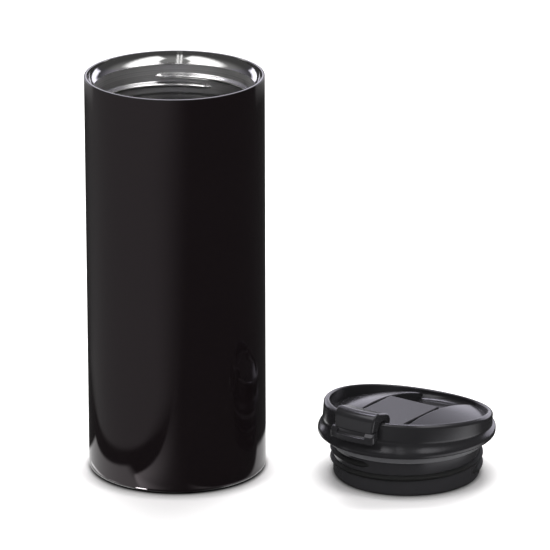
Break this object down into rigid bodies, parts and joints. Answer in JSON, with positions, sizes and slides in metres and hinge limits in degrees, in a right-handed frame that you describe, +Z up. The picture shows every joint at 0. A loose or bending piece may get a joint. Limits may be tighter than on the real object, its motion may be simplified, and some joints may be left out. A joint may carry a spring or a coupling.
{
  "type": "insulated tumbler",
  "caption": "Straight insulated tumbler with a bare steel mouth, its slanted screw lid with a flip lever set down beside it.",
  "frame": {"origin": "centre of the tumbler's base on the surface it stands on", "axes": "+Z up along the tumbler's axis, out of its mouth; the lid lies towards +X, with its hook turned towards -X and -Y"},
  "size_m": [0.1605, 0.0799, 0.16],
  "materials": {
    "black_coat": "gloss",
    "bare_steel": "polished bevel, satin neck",
    "hidden_steel": "satin",
    "base_steel": "satin",
    "solder_glass": "smooth",
    "lid_plastic": "satin moulded",
    "plug_plastic": "satin moulded",
    "lever_plastic": "satin moulded",
    "gasket_silicone": "smooth",
    "seal_silicone": "smooth"
  },
  "bodies": {
    "tumbler": {"outer_shell": "black_coat", "inner_liner": "bare_steel", "vacuum_base": "hidden_steel", "evacuation_seal": "solder_glass", "getter": "hidden_steel", "base_cap": "base_steel"},
    "lid": {"lid_shell": "lid_plastic", "lid_plug": "plug_plastic", "neck_gasket": "gasket_silicone"},
    "lever": {"flip_lever": "lever_plastic", "spout_seal": "seal_silicone", "vent_seal": "seal_silicone"}
  },
  "joints": [
    {"name": "lid_lift", "type": "slide", "parent": "tumbler", "child": "lid", "axis": [0, 0, 1], "range_m": [0, 0.165]},
    {"name": "lever_flip", "type": "hinge", "parent": "lid", "child": "lever", "pos_m": [0.09193, -0.00644, 0.0249], "axis": [-0.809, 0.5878, 0], "range_deg": [0, 160]}
  ]
}
